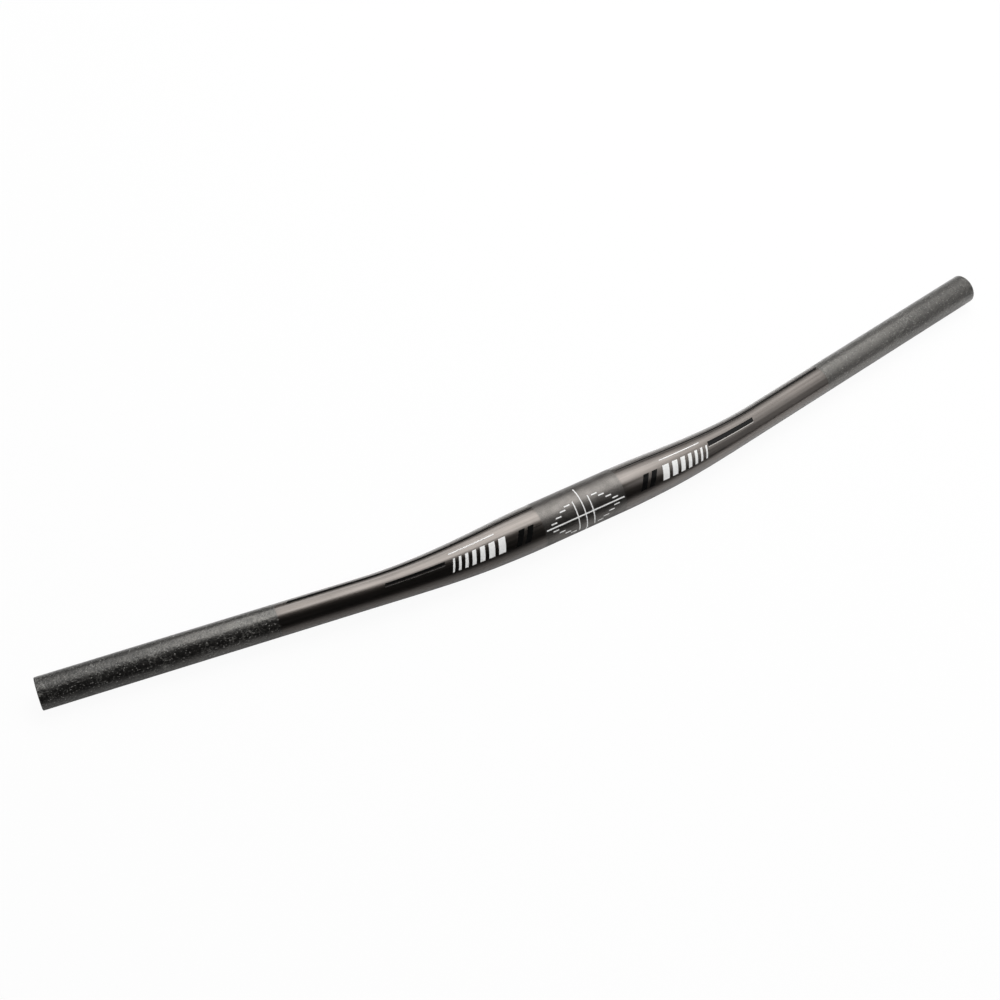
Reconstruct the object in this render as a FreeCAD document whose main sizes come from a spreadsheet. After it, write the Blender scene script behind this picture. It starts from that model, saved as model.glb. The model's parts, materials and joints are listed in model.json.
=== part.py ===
import FreeCAD, Part
import Sketcher
import os

# A flat mountain bike handlebar, moulded as one hollow tube and open at both ends.
# It is straight and thick in the middle, where the stem clamps it, then tapers as it bends back on each side,
# and it is straight and slim again where the grips slide on. X runs along the clamped middle, Y points back to
# the rider and Z up. The origin is the centre of the clamp, and the bar lies the way it comes to rest.

doc = FreeCAD.newDocument("handlebar")

# Driving dimensions, in millimetres and degrees
DIMENSIONS = {
    "overall_width": 750,    # between the centres of the two end faces
    "sweep_angle": 9,        # how far each grip points back from the clamp's axis
    "clamp_diameter": 31.8,
    "clamp_length": 60,      # straight middle that the stem can hold
    "clamp_wall": 2.8,
    "clamp_to_bend": 35,     # straight part of each taper, before it starts to bend
    "bend_radius": 600,      # of the tube's axis
    "grip_diameter": 22.2,
    "grip_wall": 2.2,
    "end_chamfer": 0.4,      # broken edges of the cut ends, inside and outside
}

sizes = doc.addObject("Spreadsheet::Sheet", "sizes")
for row, (alias, value) in enumerate(DIMENSIONS.items(), start=1):
    sizes.set(f"A{row}", alias)
    sizes.set(f"B{row}", str(value))
    sizes.setAlias(f"B{row}", alias)
doc.recompute()

# What follows from them, on the right half of the bar. Distances along the tube are measured from the middle.
DERIVED = {
    "taper_start": "sizes.clamp_length / 2",
    "bend_start": "layout.taper_start + sizes.clamp_to_bend",
    "taper_end": "layout.bend_start + sizes.bend_radius * sizes.sweep_angle * pi / 180",
    "grip_start_x": "layout.bend_start + sizes.bend_radius * sin(sizes.sweep_angle)",
    "grip_start_y": "sizes.bend_radius * (1 - cos(sizes.sweep_angle))",
    "grip_length": "(sizes.overall_width / 2 - layout.grip_start_x) / cos(sizes.sweep_angle)",
    "tip_setback": "layout.grip_start_y + layout.grip_length * sin(sizes.sweep_angle)",
    # The bar lies on the clamp and on both tips, so it tilts until the slimmer tips reach the ground.
    "rest_tilt": "asin((sizes.clamp_diameter - sizes.grip_diameter) / 2 / layout.tip_setback) / 1 deg",
}

layout = doc.addObject("App::VarSet", "layout")
for name, formula in DERIVED.items():
    layout.addProperty("App::PropertyFloat", name, "Layout")
    layout.setExpression(name, formula)
doc.recompute()

bar = doc.addObject("PartDesign::Body", "handlebar")
bar.Label = "handlebar"
cross_plane = next(plane for plane in bar.Origin.OriginFeatures if plane.Role == "YZ_Plane")


def ring_section(name, outer_diameter, wall):
    """A cross-section of the tube: two circles round its axis, drawn square to the clamp."""
    sketch = bar.newObject("Sketcher::SketchObject", name)
    sketch.AttachmentSupport = (cross_plane, [""])
    sketch.MapMode = "FlatFace"
    diameters = {"outer": outer_diameter, "inner": f"{outer_diameter} - 2 * ({wall})"}
    for circle, (side, formula) in enumerate(diameters.items()):
        drawn_radius = 10.0 - circle
        sketch.addGeometry(Part.Circle(FreeCAD.Vector(0, 0, 0), FreeCAD.Vector(0, 0, 1), drawn_radius))
        sketch.addConstraint(Sketcher.Constraint("Coincident", circle, 3, -1, 1))
        number = sketch.addConstraint(Sketcher.Constraint("Diameter", circle, 2 * drawn_radius))
        sketch.renameConstraint(number, side)
        sketch.setExpression(f"Constraints.{side}", formula)
    return sketch


def move_along_tube(sketch, share):
    """Sets a section at a share of the way down the taper, and turns it square to the bent axis there."""
    own = sketch.Name
    station = {
        "along": f"layout.taper_start + {share} * (layout.taper_end - layout.taper_start)",
        "turn": f"max({own}.along - layout.bend_start; 0) / sizes.bend_radius * 180 / pi",
        "before_bend": f"min({own}.along - layout.bend_start; 0)",
    }
    for name, formula in station.items():
        sketch.addProperty("App::PropertyFloat", name, "Station")
        sketch.setExpression(name, formula)
    along_x = f"layout.bend_start + {own}.before_bend + sizes.bend_radius * sin({own}.turn)"
    back_y = f"sizes.bend_radius * (1 - cos({own}.turn))"
    # The plane's own axes are Y, Z and X of the bar, so the section turns about its second axis.
    turned = FreeCAD.Rotation(FreeCAD.Vector(0, 1, 0), 1)
    sketch.AttachmentOffset = FreeCAD.Placement(FreeCAD.Vector(0, 0, 0), turned)
    sketch.setExpression("AttachmentOffset.Base.x", back_y)
    sketch.setExpression("AttachmentOffset.Base.z", along_x)
    sketch.setExpression("AttachmentOffset.Rotation.Angle", f"{own}.turn")


# Clamp: a straight tube, the same to both sides of the middle
clamp_section = ring_section("clamp_section", "sizes.clamp_diameter", "sizes.clamp_wall")
clamp = bar.newObject("PartDesign::Pad", "clamp")
clamp.Profile = clamp_section
clamp.SideType = "Symmetric"
clamp.setExpression("Length", "sizes.clamp_length")
doc.recompute()

# Taper and bend: the diameter and the wall both ease from the clamp's to the grip's along the bending axis
TAPER_STEPS = 8
taper_sections = []
for step in range(TAPER_STEPS + 1):
    share = step / TAPER_STEPS
    eased = share * share * (3 - 2 * share)
    diameter = f"(sizes.clamp_diameter + {eased} * (sizes.grip_diameter - sizes.clamp_diameter))"
    wall = f"sizes.clamp_wall + {eased} * (sizes.grip_wall - sizes.clamp_wall)"
    section = ring_section(f"taper_section_{step}", diameter, wall)
    move_along_tube(section, share)
    taper_sections.append(section)
doc.recompute()
taper = bar.newObject("PartDesign::AdditiveLoft", "taper")
taper.Profile = taper_sections[0]
taper.Sections = taper_sections[1:]
doc.recompute()

# Grip: a straight tube from the end of the bend to the tip
grip = bar.newObject("PartDesign::Pad", "grip")
grip.Profile = taper_sections[-1]
grip.setExpression("Length", "layout.grip_length")
doc.recompute()

# The other half is the same, seen in a mirror
both_halves = bar.newObject("PartDesign::Mirrored", "both_halves")
both_halves.Originals = [taper, grip]
both_halves.MirrorPlane = (cross_plane, [""])
bar.Tip = both_halves
doc.recompute()

# The tips are cut square and their edges broken
tip_x = sizes.overall_width / 2
tip_edges = []
for number, edge in enumerate(both_halves.Shape.Edges, start=1):
    if isinstance(edge.Curve, Part.Circle) and abs(abs(edge.Curve.Center.x) - tip_x) < sizes.end_chamfer:
        tip_edges.append(f"Edge{number}")
broken_edges = bar.newObject("PartDesign::Chamfer", "broken_edges")
broken_edges.Base = (both_halves, tip_edges)
broken_edges.setExpression("Size", "sizes.end_chamfer")
bar.Tip = broken_edges
doc.recompute()

# The bar tips back about the clamp's axis until it lies on the clamp and both tips
bar.Placement = FreeCAD.Placement(FreeCAD.Vector(0, 0, 0), FreeCAD.Rotation(FreeCAD.Vector(1, 0, 0), -1))
bar.setExpression("Placement.Rotation.Angle", "-layout.rest_tilt")
doc.recompute()

failed = [item.Name for item in doc.Objects if "Invalid" in item.State or "Error" in item.State]
if failed:
    raise RuntimeError(f"not built: {failed}")
if bar.Shape.isNull() or not bar.Shape.isValid() or len(bar.Shape.Solids) != 1:
    raise RuntimeError("the bar is not one valid solid")
if len(tip_edges) != 4:
    raise RuntimeError("each tip has an outer and an inner edge to break")

os.makedirs("parts", exist_ok=True)
bar.Shape.exportStep(f"parts/{bar.Label}.step")
print("volume, cubic centimetres:", round(bar.Shape.Volume / 1000, 2))
print("box, millimetres:", bar.Shape.BoundBox)
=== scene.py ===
import json
import math
import bmesh
import bpy
from mathutils import Matrix, Vector


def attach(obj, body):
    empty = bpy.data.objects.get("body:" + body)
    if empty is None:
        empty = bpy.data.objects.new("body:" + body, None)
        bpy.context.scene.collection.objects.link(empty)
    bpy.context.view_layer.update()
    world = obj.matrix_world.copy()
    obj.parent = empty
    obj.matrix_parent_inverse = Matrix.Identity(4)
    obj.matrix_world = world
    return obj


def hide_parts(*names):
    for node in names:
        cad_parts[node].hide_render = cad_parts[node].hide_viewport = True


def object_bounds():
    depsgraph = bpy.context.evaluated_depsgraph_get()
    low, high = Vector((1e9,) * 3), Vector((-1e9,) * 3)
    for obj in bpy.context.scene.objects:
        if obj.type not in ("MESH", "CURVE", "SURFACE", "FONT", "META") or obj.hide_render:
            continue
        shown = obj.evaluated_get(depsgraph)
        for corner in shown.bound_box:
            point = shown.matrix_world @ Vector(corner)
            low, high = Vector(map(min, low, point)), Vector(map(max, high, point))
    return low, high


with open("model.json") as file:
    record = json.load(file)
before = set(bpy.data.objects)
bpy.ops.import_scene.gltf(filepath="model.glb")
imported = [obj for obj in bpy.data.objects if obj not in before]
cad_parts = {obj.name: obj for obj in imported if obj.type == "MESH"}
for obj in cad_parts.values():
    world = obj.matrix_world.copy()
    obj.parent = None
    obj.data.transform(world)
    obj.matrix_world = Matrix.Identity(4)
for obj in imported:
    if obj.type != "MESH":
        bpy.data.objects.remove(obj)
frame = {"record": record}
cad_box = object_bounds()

# Handlebar tube: one-way carbon plies laid over a bladder, then pressed and cured in a two-part mould as one
# hollow tube. The middle is straight and thick for the stem, each side tapers as it bends back, and the ends
# are sawn square with their edges broken.
MM = 0.001
mounts = {mount["name"]: mount for mount in frame["record"]["mounts"]}
clamp_radius = mounts["clamp"]["dims"]["r_mm"] * MM
clamp_wall = 2.8 * MM
clamp_bore_radius = clamp_radius - clamp_wall
grip_radius = mounts["grip_right"]["dims"]["r_mm"] * MM
grip_bore_radius = mounts["end_bore_right"]["dims"]["r_mm"] * MM
end_chamfer = 0.4 * MM

# The bend joins the straight clamp to the straight grip, which gives its radius and where it starts and ends.
# Distances along the bar are measured on its axis from the middle, negative to the left.
ACROSS = Vector((1, 0, 0))
grip_axis = Vector(mounts["grip_right"]["axis"]).normalized()
grip_length = mounts["grip_right"]["dims"]["length_mm"] * MM + end_chamfer
grip_start = Vector(mounts["grip_right"]["pos_m"]) - grip_axis * grip_length / 2
BACK = Vector((0, grip_axis.y, grip_axis.z)).normalized()
UP = ACROSS.cross(BACK)
sweep = math.acos(grip_axis.x)
bend_tangent = grip_start.dot(BACK) / math.sin(sweep)
bend_radius = bend_tangent / math.tan(sweep / 2)
bend_start = grip_start.x - bend_tangent * (1 + math.cos(sweep))
taper_start = mounts["clamp"]["dims"]["length_mm"] * MM / 2
taper_end = bend_start + bend_radius * sweep
half_length = taper_end + grip_length

# The tapers are clear-coated. The coat stops with a thin step short of the clamp and where the grips begin.
coat_thickness = 0.03 * MM
coat_step = 0.8 * MM
coat_start = 33 * MM
coat_end = 219 * MM
coat_inner_edge = coat_start - coat_step
coat_outer_edge = coat_end + coat_step


def eased(value, low, high):
    """0 up to low and 1 from high on, with a smooth change between them."""
    share = min(max((value - low) / (high - low), 0), 1)
    return share * share * (3 - 2 * share)


def outer_radius(along):
    """Radius of the finished bar, with the film of clear coat where there is one."""
    reach = abs(along)
    laminate = clamp_radius + (grip_radius - clamp_radius) * eased(reach, taper_start, taper_end)
    coated = eased(reach, coat_inner_edge, coat_start) - eased(reach, coat_end, coat_outer_edge)
    return laminate + coat_thickness * coated


def bore_radius(along):
    """Radius of the hollow, which narrows with the bar."""
    narrowed = eased(abs(along), taper_start, taper_end)
    return clamp_bore_radius + (grip_bore_radius - clamp_bore_radius) * narrowed


def on_bar(along, angle, radius):
    """The point at a distance along the bar, an angle round it and a radius.

    The angle is 0 in front and a quarter turn on top.
    """
    side = math.copysign(1, along)
    turn = min(max(abs(along) - bend_start, 0) / bend_radius, sweep)
    straight = abs(along) - bend_start - bend_radius * turn
    across = bend_start + bend_radius * math.sin(turn) + straight * math.cos(turn)
    behind = bend_radius * (1 - math.cos(turn)) + straight * math.sin(turn)
    front = ACROSS * side * math.sin(turn) - BACK * math.cos(turn)
    outwards = front * math.cos(angle) + UP * math.sin(angle)
    return ACROSS * side * across + BACK * behind + outwards * radius


def stations(half_marks, step):
    """Distances from the left end to the right, through every mark and no further apart than the step."""
    marks = [-mark for mark in reversed(half_marks)] + half_marks
    found = []
    for low, high in zip(marks, marks[1:]):
        count = math.ceil((high - low) / step)
        found += [low + (high - low) * number / count for number in range(count)]
    return found + [marks[-1]]


# The outline of the tube's wall runs along the outside, over the right end, back through the bore and over
# the left end.
skin_step = 2.5 * MM
bore_step = 6 * MM
skin_end = half_length - end_chamfer
skin_marks = [taper_start, coat_inner_edge, coat_start, bend_start,
              taper_end, coat_end, coat_outer_edge, skin_end]
bore_marks = [taper_start, bend_start, taper_end, skin_end]
skin = [(along, outer_radius(along)) for along in stations(skin_marks, skin_step)]
bore = [(along, bore_radius(along)) for along in reversed(stations(bore_marks, bore_step))]
sawn_face = [(half_length, grip_radius - end_chamfer), (half_length, grip_bore_radius + end_chamfer)]
outline = skin + sawn_face + bore + [(-along, radius) for along, radius in reversed(sawn_face)]
last_of_skin = len(skin) - 1
first_of_bore = len(skin) + len(sawn_face)
last_of_bore = first_of_bore + len(bore) - 1

# Each band between two stations is a row of faces with one finish.
AROUND = 128
GRIP, TAPER, CLAMP, SAWN, BORE = range(5)
points = []
unbent = []
for along, radius in outline:
    for number in range(AROUND):
        angle = 2 * math.pi * number / AROUND
        points.append(on_bar(along, angle, radius))
        unbent += (along, radius * math.cos(angle), radius * math.sin(angle))
faces = []
finish_numbers = []
for band in range(len(outline)):
    beyond = (band + 1) % len(outline)
    middle = abs(outline[band][0] + outline[beyond][0]) / 2
    if first_of_bore <= band < last_of_bore:
        finish_number = BORE
    elif band >= last_of_skin:
        finish_number = SAWN
    elif middle < coat_inner_edge:
        finish_number = CLAMP
    elif middle < coat_outer_edge:
        finish_number = TAPER
    else:
        finish_number = GRIP
    for number in range(AROUND):
        following = (number + 1) % AROUND
        corners = ((band, number), (band, following), (beyond, following), (beyond, number))
        faces.append([ring * AROUND + place for ring, place in corners])
        finish_numbers.append(finish_number)
tube_mesh = bpy.data.meshes.new("handlebar_tube")
tube_mesh.from_pydata(points, [], faces)
tube_mesh.attributes.new("unbent", "FLOAT_VECTOR", "POINT").data.foreach_set("vector", unbent)
tube_mesh.polygons.foreach_set("material_index", finish_numbers)
tube_mesh.shade_smooth()

# The bake map is nine squares: the skin unrolled in eight lengths, then the bore with both ends. A strip is
# its first and last band, then its left, low, width and height in squares.
LENGTHS = 8
SQUARES = 3
MARGIN = 0.04
strips = []
for number in range(LENGTHS):
    first, last = (round(last_of_skin * edge / LENGTHS) for edge in (number, number + 1))
    strips.append((first, last, number % SQUARES, number // SQUARES, 1, 1))
strips.append((last_of_skin, first_of_bore, 2, 2, 0.5, 0.25))
strips.append((first_of_bore, last_of_bore, 2, 2.5, 1, 0.5))
strips.append((last_of_bore, len(outline), 2, 2.25, 0.5, 0.25))
bake_map = tube_mesh.uv_layers.new(name="OFBake")
for first, last, left, low, width, height in strips:
    for band in range(first, last):
        for number in range(AROUND):
            polygon = tube_mesh.polygons[band * AROUND + number]
            corners = ((band, number), (band, number + 1), (band + 1, number + 1), (band + 1, number))
            for loop, (ring, place) in zip(polygon.loop_indices, corners):
                share_along = MARGIN + (1 - 2 * MARGIN) * (ring - first) / (last - first)
                share_round = MARGIN + (1 - 2 * MARGIN) * place / AROUND
                map_x = (left + width * share_along) / SQUARES
                map_y = (low + height * share_round) / SQUARES
                bake_map.uv[loop].vector = (map_x, map_y)

# Edges that turn more than this are corners, and the rest of the surface is smooth.
sharp_angle = math.radians(30)
edit = bmesh.new()
edit.from_mesh(tube_mesh)
for edge in edit.edges:
    edge.smooth = edge.calc_face_angle() < sharp_angle
bmesh.ops.recalc_face_normals(edit, faces=edit.faces)
edit.to_mesh(tube_mesh)
edit.free()
tube = bpy.data.objects.new("handlebar_tube", tube_mesh)
bpy.context.collection.objects.link(tube)
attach(tube, "root")
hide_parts("handlebar")

# Grip ends: bare laminate under a matt film, left gritty so that the grips hold and coarser outwards. Curled
# flecks of short fibre show, and the sanded tips of the grit are paler, partly real and partly painted
# glints.
# The right end is painted paler than the left, as painted light for the brighter light that falls on it.


class Shade:
    """A value in a material. Arithmetic on it adds the nodes that work it out."""

    def __init__(self, tree, socket=None):
        self.tree = tree
        self.socket = socket

    def feed(self, node, values):
        """Sets or links the inputs of a node, named by their identifiers."""
        sockets = {socket.identifier: socket for socket in node.inputs}
        for name, value in values.items():
            if isinstance(value, Shade):
                self.tree.links.new(value.socket, sockets[name])
            else:
                sockets[name].default_value = value

    def node(self, kind, settings, values, output=None):
        """Adds a node with its settings and inputs, and gives one of its outputs or else the first."""
        made = self.tree.nodes.new("ShaderNode" + kind)
        for name, value in settings.items():
            setattr(made, name, value)
        self.feed(made, values)
        found = next(socket for socket in made.outputs if output in (None, socket.identifier))
        return Shade(self.tree, found)

    def math(self, operation, first, second=0.0):
        return self.node("Math", {"operation": operation}, {"Value": first, "Value_001": second})

    def __add__(self, other):
        return self.math("ADD", self, other)

    def __sub__(self, other):
        return self.math("SUBTRACT", self, other)

    def __rsub__(self, other):
        return self.math("SUBTRACT", other, self)

    def __mul__(self, other):
        return self.math("MULTIPLY", self, other)

    def __abs__(self):
        return self.math("ABSOLUTE", self)

    __radd__ = __add__
    __rmul__ = __mul__

    def between(self, low, high):
        """0 at low and 1 at high, with a smooth change between them."""
        values = {"Value": self, "From Min": low, "From Max": high}
        return self.node("MapRange", {"interpolation_type": "SMOOTHSTEP"}, values)

    def colours(self, low, high):
        """From one colour to another. Each is three numbers or a colour worked out before."""
        low, high = (colour if isinstance(colour, Shade) else (*colour, 1) for colour in (low, high))
        values = {"Factor_Float": self, "A_Color": low, "B_Color": high}
        return self.node("Mix", {"data_type": "RGBA"}, values, "Result_Color")

    def stretched(self, *amounts):
        """A place with each of its directions stretched by an amount."""
        return self.node("VectorMath", {"operation": "MULTIPLY"}, {"Vector": self, "Vector_001": amounts})

    def noise(self, scale, detail=2.0, distortion=0.0):
        """Cloudy grain at a place, with about as many lumps to the metre as the scale."""
        values = {"Vector": self, "Scale": scale, "Detail": detail, "Distortion": distortion}
        return self.node("TexNoise", {}, values)

    def bump(self, depth, strength):
        """The tilt of a surface that is raised by this value, up to a depth."""
        return self.node("Bump", {}, {"Height": self, "Distance": depth, "Strength": strength})


def new_finish(name, on_tube=True):
    """A material, its surface, and the place that its patterns follow.

    On the tube that is the place on the unbent bar, and elsewhere the piece's own.
    """
    material = bpy.data.materials.new(name)
    material.use_nodes = True
    start = Shade(material.node_tree)
    if on_tube:
        place = start.node("Attribute", {"attribute_name": "unbent"}, {}, "Vector")
    else:
        place = start.node("TexCoord", {}, {}, "Object")
    return material, material.node_tree.nodes["Principled BSDF"], place


grip_finish, surface, place = new_finish("satin grip laminate")
grit = place.noise(750, 3)
lumps = place.noise(320, 2)
curls = place.noise(170, 1, 1.5)
flecks = (1 - abs(curls - 0.5).between(0.0, 0.035)) * place.noise(60, 1).between(0.5, 0.62)
tips = place.noise(900, 1).between(0.64, 0.71)
# Pale sanded tips and fibre flecks, partly real paler fibre and partly painted glints that show on the shaded
# side.
pale_and_painted_glints = tips.math("MAXIMUM", tips, 0.7 * flecks)
along = place.node("SeparateXYZ", {}, {"Vector": place}, "X")
coarse = abs(along).between(265 * MM, 315 * MM)
# Painted light: the colour grows paler towards the right end, standing in for the brighter light there.
painted_light_right = along.between(-200 * MM, 200 * MM)
tone = 0.4 * lumps + 0.6 * grit + 0.03 - 0.11 * coarse + 0.12 * painted_light_right
film = tone.between(0.2, 0.8).colours((0.055, 0.054, 0.052), (0.142, 0.136, 0.125))
relief = (0.6 + 0.4 * coarse) * (0.6 * grit + 0.9 * lumps + 0.3 * tips)
place.feed(surface, {
    "Base Color": pale_and_painted_glints.colours(film, (0.22, 0.215, 0.20)),
    "Metallic": 0.95 - 0.95 * pale_and_painted_glints,
    "Roughness": 0.23 + 0.07 * coarse + 0.16 * grit,
    "Coat Weight": 0.6,
    "Coat Roughness": 0.33,
    "Normal": relief.bump(0.45 * MM, 1.0),
})

# Tapers: the outer one-way ply, seen as fine streaks along the bar through a thick clear coat, which is
# sprayed on and polished.
taper_finish, surface, place = new_finish("clear-coated taper laminate")
streaks = place.stretched(12, 700, 700).noise(1, 3)
waves = place.noise(45, 2)
peel = place.noise(260, 1)
tone = 0.7 * streaks + 0.3 * waves
place.feed(surface, {
    "Base Color": tone.between(0.25, 0.8).colours((0.091, 0.079, 0.070), (0.154, 0.134, 0.120)),
    "Metallic": 1.0,
    "Roughness": 0.24 + 0.1 * streaks,
    "Coat Weight": 1.0,
    "Coat Roughness": 0.12,
    "Normal": peel.bump(0.01 * MM, 0.3),
})

# Clamp: bare laminate, masked from the clear coat and blasted to a fine even grain, so that the stem bites
# and the bar doesn't turn in it.
clamp_finish, surface, place = new_finish("satin clamp laminate")
grit = place.noise(1400, 3)
mottle = place.noise(120, 3)
tone = 0.6 * mottle + 0.5 * grit
place.feed(surface, {
    "Base Color": tone.between(0.3, 0.8).colours((0.082, 0.076, 0.070), (0.166, 0.155, 0.144)),
    "Metallic": 0.98,
    "Roughness": 0.31 + 0.12 * grit,
    "Coat Weight": 0.4,
    "Coat Roughness": 0.3,
    "Normal": grit.bump(0.12 * MM, 0.7),
})

# Sawn ends: the tube is sawn to length after it is cured, so the cut plies show as fine rings, and the edges
# of the cut are broken by hand.
sawn_finish, surface, place = new_finish("sawn laminate")
section = place.stretched(0, 1, 1)
depth = section.node("VectorMath", {"operation": "LENGTH"}, {"Vector": section}, "Value")
ply = 0.25 * MM
plies = 0.5 + 0.5 * depth.math("SINE", depth * (2 * math.pi / ply))
tone = 0.5 * plies + 0.5 * place.noise(1500, 3)
place.feed(surface, {
    "Base Color": tone.colours((0.010, 0.010, 0.010), (0.060, 0.058, 0.056)),
    "Roughness": 0.5 + 0.2 * plies,
    "Normal": tone.bump(0.05 * MM, 0.4),
})

# Bore: the inside of the laminate, matt resin with the wrinkles that the bladder left along it when it was
# blown up in the mould.
bore_finish, surface, place = new_finish("bore laminate")
wrinkles = place.stretched(30, 170, 170).noise(1, 3)
place.feed(surface, {
    "Base Color": wrinkles.colours((0.010, 0.010, 0.011), (0.035, 0.034, 0.033)),
    "Roughness": 0.4 + 0.25 * wrinkles,
    "Normal": wrinkles.bump(0.5 * MM, 0.5),
})
for finish in (grip_finish, taper_finish, clamp_finish, sawn_finish, bore_finish):
    tube_mesh.materials.append(finish)

# Clamp scale: white ink screen-printed on the clamp, to centre the stem and set its angle. A long line runs
# along the front, three rings cross it at the middle, and short dashes step away from it to both sides.
# Print is measured in mm along the bar and in degrees round it.
LEFT, RIGHT = -1, 1
ink_thickness = 0.03 * MM
film_step_along = 2.0
film_step_round = 3.0


def printed(name, shapes, finish):
    """Thin films on the bar. A shape has four corners, each a distance along and an angle round."""
    edit = bmesh.new()
    for corners in shapes:
        low_start, low_end, high_end, high_start = (Vector(corner) for corner in corners)
        widest = max((high_start - low_start).y, (high_end - low_end).y)
        steps_along = max(1, math.ceil(abs((low_end - low_start).x) / film_step_along))
        steps_round = max(1, math.ceil(widest / film_step_round))
        rims = []
        for lift in (ink_thickness, -ink_thickness):
            sheet = []
            for step_round in range(steps_round + 1):
                start = low_start.lerp(high_start, step_round / steps_round)
                end = low_end.lerp(high_end, step_round / steps_round)
                row = []
                for step in range(steps_along + 1):
                    spot = start.lerp(end, step / steps_along)
                    radius = outer_radius(spot.x * MM) + lift
                    row.append(edit.verts.new(on_bar(spot.x * MM, math.radians(spot.y), radius)))
                sheet.append(row)
            for lower, upper in zip(sheet, sheet[1:]):
                for step in range(steps_along):
                    edit.faces.new((lower[step], lower[step + 1], upper[step + 1], upper[step]))
            first_edge = [row[0] for row in sheet]
            last_edge = [row[-1] for row in sheet]
            rims.append(sheet[0][:-1] + last_edge[:-1] + sheet[-1][:0:-1] + first_edge[:0:-1])
        top, base = rims
        for number in range(len(top)):
            edit.faces.new((top[number - 1], top[number], base[number], base[number - 1]))
    bmesh.ops.recalc_face_normals(edit, faces=edit.faces)
    mesh = bpy.data.meshes.new(name)
    edit.to_mesh(mesh)
    edit.free()
    mesh.materials.append(finish)
    film = bpy.data.objects.new(name, mesh)
    bpy.context.collection.objects.link(film)
    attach(film, "root")


def block(along_start, along_end, angle_start, angle_end, lean=0.0):
    """A shape between two distances and two angles. Lean moves its upper edge along the bar."""
    return [(along_start, angle_start), (along_end, angle_start),
            (along_end + lean, angle_end), (along_start + lean, angle_end)]


def block_about(along, angle, reach_along, reach_round):
    """A shape that reaches equally far to both sides of its middle."""
    return block(along - reach_along, along + reach_along, angle - reach_round, angle + reach_round)


white_ink, surface, place = new_finish("white ink", on_tube=False)
cover = place.noise(700, 3)
place.feed(surface, {
    "Base Color": cover.between(0.25, 0.6).colours((0.84, 0.84, 0.83), (0.92, 0.92, 0.91)),
    "Roughness": 0.35 + 0.15 * cover,
})
scale_angle = 27.5
line_half_length = 31
line_half_width = 0.5
ring_half_width = 0.4
dash_half_length = 2.2
dash_half_width = 0.45
line_reach = math.degrees(line_half_width * MM / clamp_radius)
dash_reach = math.degrees(dash_half_width * MM / clamp_radius)
scale_shapes = [block_about(0, scale_angle, line_half_length, line_reach)]
for ring_along, ring_reach in ((0.0, 75), (-6.0, 42), (6.0, 42)):
    scale_shapes.append(block_about(ring_along, scale_angle, ring_half_width, ring_reach))
for dash_along, dash_angle in ((24.3, 9.5), (19.8, 19.5), (15.3, 29.5), (10.8, 38)):
    for side in (LEFT, RIGHT):
        for angle in (scale_angle - dash_angle, scale_angle + dash_angle):
            scale_shapes.append(block_about(side * dash_along, angle, dash_half_length, dash_reach))
printed("clamp_scale", scale_shapes, white_ink)

# Side marks: white ink screen-printed on the clear coat of both tapers, a row of leaning bars that grow
# thinner outwards, under a thin rule.
BAR_WIDTHS = (5.2, 4.4, 3.6, 2.9, 2.3, 1.8, 1.4)
bar_gap = 2.8
bar_row_start = 63.0
bar_edges = (21, 60)
bar_lean = 3.0
rule_start = 66.0
rule_end = 100.0
rule_edges = (76, 79)
mark_shapes = []
for side in (LEFT, RIGHT):
    bar_start = bar_row_start
    for bar_width in BAR_WIDTHS:
        bar_end = bar_start + bar_width
        mark_shapes.append(block(side * bar_start, side * bar_end, *bar_edges, bar_lean))
        bar_start = bar_end + bar_gap
    mark_shapes.append(block(side * rule_start, side * rule_end, *rule_edges))
printed("side_marks", mark_shapes, white_ink)

# Dark stripes: black ink on both tapers, a long stripe along the top towards the back that widens outwards, a
# broad short one in front, and two short leaning bars between the marks and the clamp. The print lies a
# little differently on the two sides.
long_stripe_start = 33.5
long_stripe_end = {LEFT: 212, RIGHT: 218}
long_stripe_edges_at_start = {LEFT: (102, 105), RIGHT: (101, 104)}
long_stripe_edges_at_end = {LEFT: (100.5, 114.5), RIGHT: (97.5, 107.5)}
long_stripe_lean = 2.0
short_stripe_start = 105.0
short_stripe_end = 147.0
short_stripe_edges = {LEFT: (53, 61), RIGHT: (53, 68)}
short_stripe_lean = 1.0
DARK_BAR_STARTS = (44.0, 51.0)
dark_bar_width = 4.5
dark_bar_edges = (20, 58)
dark_bar_lean = 6.0
black_ink, surface, place = new_finish("black ink", on_tube=False)
cover = place.noise(300, 2)
place.feed(surface, {
    "Base Color": cover.colours((0.003, 0.003, 0.003), (0.007, 0.007, 0.007)),
    "Roughness": 0.06 + 0.06 * cover,
    "Specular IOR Level": 0.12,
})
stripe_shapes = []
for side in (LEFT, RIGHT):
    start = side * long_stripe_start
    end = side * long_stripe_end[side]
    low_at_start, high_at_start = long_stripe_edges_at_start[side]
    low_at_end, high_at_end = long_stripe_edges_at_end[side]
    stripe_shapes.append([(start, low_at_start), (end, low_at_end),
                          (end + long_stripe_lean, high_at_end), (start + long_stripe_lean, high_at_start)])
    start = side * short_stripe_start
    end = side * short_stripe_end
    stripe_shapes.append(block(start, end, *short_stripe_edges[side], short_stripe_lean))
    for bar_start in DARK_BAR_STARTS:
        bar_end = bar_start + dark_bar_width
        stripe_shapes.append(block(side * bar_start, side * bar_end, *dark_bar_edges, dark_bar_lean))
printed("dark_stripes", stripe_shapes, black_ink)

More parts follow.
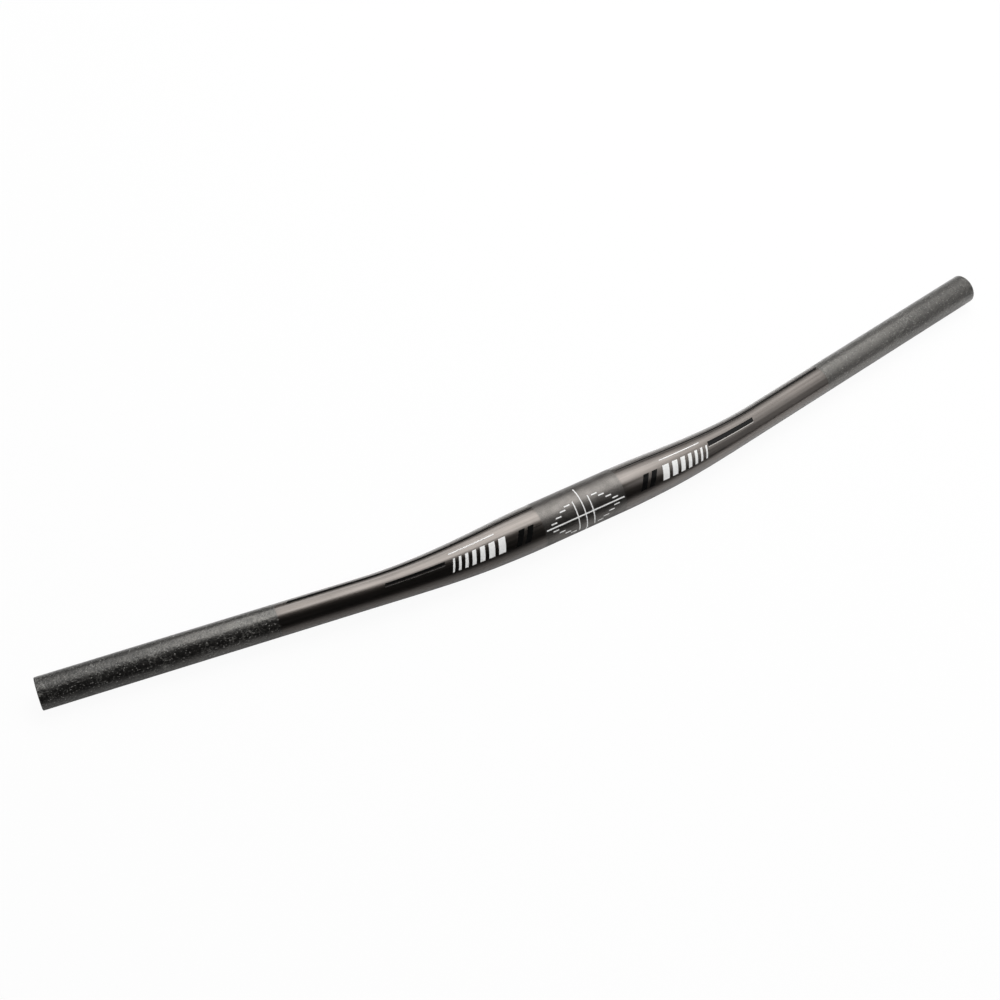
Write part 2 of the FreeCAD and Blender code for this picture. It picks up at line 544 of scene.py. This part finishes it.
# Stripe lines: a fine line of silver ink below each short stripe and as long, printed on the clear coat. The
# metal flakes in the ink catch the light.
line_edges = {LEFT: (47.8, 50), RIGHT: (49.8, 52)}
line_lean = 0.1
silver_ink, surface, place = new_finish("silver ink", on_tube=False)
flakes = place.noise(2500, 1)
place.feed(surface, {
    "Base Color": flakes.between(0.3, 0.7).colours((0.42, 0.405, 0.38), (0.58, 0.565, 0.54)),
    "Metallic": 0.95,
    "Roughness": 0.22 + 0.12 * flakes,
})
line_shapes = []
for side in (LEFT, RIGHT):
    start = side * short_stripe_start
    end = side * short_stripe_end
    line_shapes.append(block(start, end, *line_edges[side], line_lean))
printed("stripe_lines", line_shapes, silver_ink)

# Floor: a sheet of white paper that the bar lies on, plain white far from it. What the gloss mirrors of the
# paper fades into the dark in front of the bar, as in the photograph.
floor_low = cad_box[0][2]
floor_half = 3
floor_corners = ((-1, -1), (1, -1), (1, 1), (-1, 1))
floor_points = [(floor_half * x, floor_half * y, floor_low) for x, y in floor_corners]
floor_mesh = bpy.data.meshes.new("floor")
floor_mesh.from_pydata(floor_points, [], [(0, 1, 2, 3)])
floor = bpy.data.objects.new("floor", floor_mesh)
bpy.context.collection.objects.link(floor)
fade_lean = 0.16
fade_start = 26 * MM
fade_rate = 28
white_share = 0.94
white_from = 0.5
white_to = 2.4
paper, surface, ground = new_finish("white paper", on_tube=False)
ground.feed(surface, {"Base Color": (0.92, 0.92, 0.92, 1), "Roughness": 0.9, "Specular IOR Level": 0.0})
lit = Shade(paper.node_tree, surface.outputs["BSDF"])
white = ground.node("Emission", {}, {"Color": (1, 1, 1, 1), "Strength": 1.0})
dark = ground.node("Emission", {}, {"Color": (1, 1, 1, 1), "Strength": 0.02})
to_camera = ground.node("LightPath", {}, {}, "Is Camera Ray")
to_gloss = ground.node("LightPath", {}, {}, "Is Glossy Ray")
ground_x, ground_y = (ground.node("SeparateXYZ", {}, {"Vector": ground}, axis) for axis in "XY")
behind = ground_y + fade_lean * ground_x + fade_start
lit_share = behind.math("MINIMUM", behind.math("EXPONENT", fade_rate * behind), 1.0)
faded = to_gloss * (1 - lit_share)
shaded = ground.node("MixShader", {}, {"Fac": faded, "Shader": lit, "Shader_001": dark})
distance = ground.node("VectorMath", {"operation": "LENGTH"}, {"Vector": ground}, "Value")
away = distance.between(white_from, white_to)
plain = (white_share + (1 - white_share) * away) * to_camera
shown = ground.node("MixShader", {}, {"Fac": plain, "Shader": shaded, "Shader_001": white})
ground.feed(paper.node_tree.nodes["Material Output"], {"Surface": shown})
floor_mesh.materials.append(paper)

# Studio light: a big soft box overhead and behind, nearly square to the camera and brighter in its middle and
# at its back left, a dimmer one to its right, white boards that stand at the right and at the back, and a
# fill lamp by the camera that the gloss doesn't mirror.
studio_turn = Matrix.Rotation(math.radians(-23), 4, "Z")


def soft_box(name, size, place, facing, brightness):
    """A lamp of a width and height at a place in the studio, shining against the direction it is given."""
    light = bpy.data.lights.new(name, "AREA")
    light.shape = "RECTANGLE"
    light.size, light.size_y = size
    light.energy = brightness * math.pi * light.size * light.size_y
    lamp = bpy.data.objects.new(name, light)
    turned = Vector(facing).to_track_quat("Z", "Y").to_matrix().to_4x4()
    lamp.matrix_world = studio_turn @ Matrix.Translation(place) @ turned
    lamp.visible_camera = False
    bpy.context.collection.objects.link(lamp)
    return lamp


UPWARD = (0, 0, 1)
BACKWARD = (0, 1, 0)
soft_box("overhead_outer", (2.24, 2.48), (0.28, 0.96, 1.40), UPWARD, 1.2)
soft_box("overhead_middle", (1.32, 1.43), (0.24, 0.635, 1.37), UPWARD, 1.1)
soft_box("overhead_inner", (0.84, 1.05), (0.27, 0.475, 1.34), UPWARD, 1.2)
soft_box("overhead_back_left", (0.96, 0.80), (-0.42, 1.60, 1.385), UPWARD, 1.4)
soft_box("overhead_right", (1.10, 1.56), (1.55, 0.03, 1.31), UPWARD, 0.8)
soft_box("right_board", (1.00, 1.00), (1.25, -0.20, 0.50), (1, -0.2, 0.4), 0.48)
soft_box("back_board", (4.00, 1.20), (0.00, 2.60, 0.62), BACKWARD, 0.22)
soft_box("back_right_board", (1.60, 1.20), (0.80, 2.50, 0.62), BACKWARD, 0.3)
fill_place = (-0.35, -1.20, 1.30)
front_fill = soft_box("front_fill", (1.20, 0.90), fill_place, fill_place, 1.8)
front_fill.visible_glossy = False
world = bpy.data.worlds.new("studio")
world.use_nodes = True
bpy.context.scene.world = world
start = Shade(world.node_tree)
to_camera = start.node("LightPath", {}, {}, "Is Camera Ray")
room_light = 0.02
backdrop = {"Color": (1, 1, 1, 1), "Strength": room_light + (1 - room_light) * to_camera}
start.feed(world.node_tree.nodes["Background"], backdrop)

# Camera: above and to the left of the bar's front and held a little askew, as in the photograph. The length
# of its lens follows from how much smaller the far end looks there.
camera_data = bpy.data.cameras.new("camera")
camera_data.lens = 63.9
camera_data.sensor_width = 36
camera = bpy.data.objects.new("camera", camera_data)
camera_place = Vector((-0.4318, -0.6194, 0.9646))
aim = Vector((-0.03534, 0.04245, -0.0159))
tilt = math.radians(1.457)
forward = (aim - camera_place).normalized()
level = forward.cross(Vector(UPWARD)).normalized()
right = level * math.cos(tilt) + level.cross(forward) * math.sin(tilt)
turned = Matrix((right, right.cross(forward), -forward)).transposed()
camera.matrix_world = Matrix.Translation(camera_place) @ turned.to_4x4()
bpy.context.collection.objects.link(camera)
bpy.context.scene.camera = camera
bpy.context.scene.view_settings.view_transform = "Standard"
